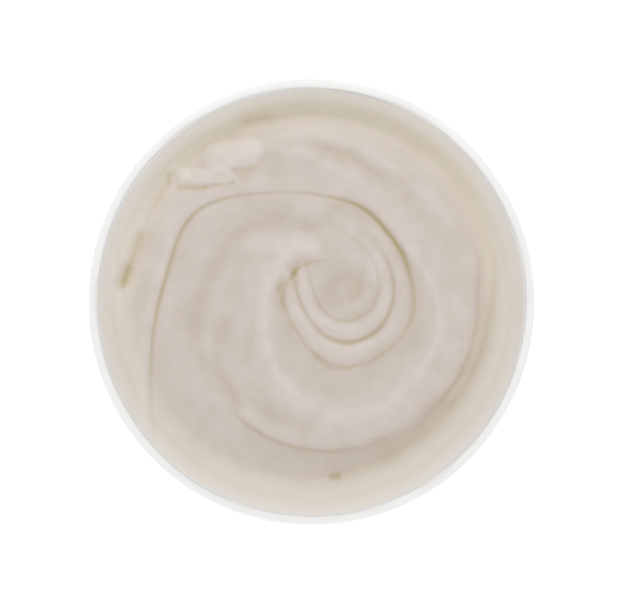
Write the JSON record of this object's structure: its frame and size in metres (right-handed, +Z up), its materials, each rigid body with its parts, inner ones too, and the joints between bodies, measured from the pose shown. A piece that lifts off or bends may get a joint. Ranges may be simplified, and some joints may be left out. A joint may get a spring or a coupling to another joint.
{
  "type": "garlic paste tub",
  "caption": "Round white plastic tub with a beaded rim, open and filled near the top with off-white garlic paste stirred into a spiral.",
  "frame": {"origin": "middle of the tub's base, on the surface it stands on", "axes": "+Z up along the tub's axis, +Y towards the top of the picture, +X to its right"},
  "size_m": [0.117, 0.117, 0.05],
  "materials": {
    "white_plastic": "satin moulded polypropylene",
    "garlic_paste": "smooth moist paste"
  },
  "bodies": {
    "root": {"tub": "white_plastic", "paste": "garlic_paste"}
  },
  "joints": []
}
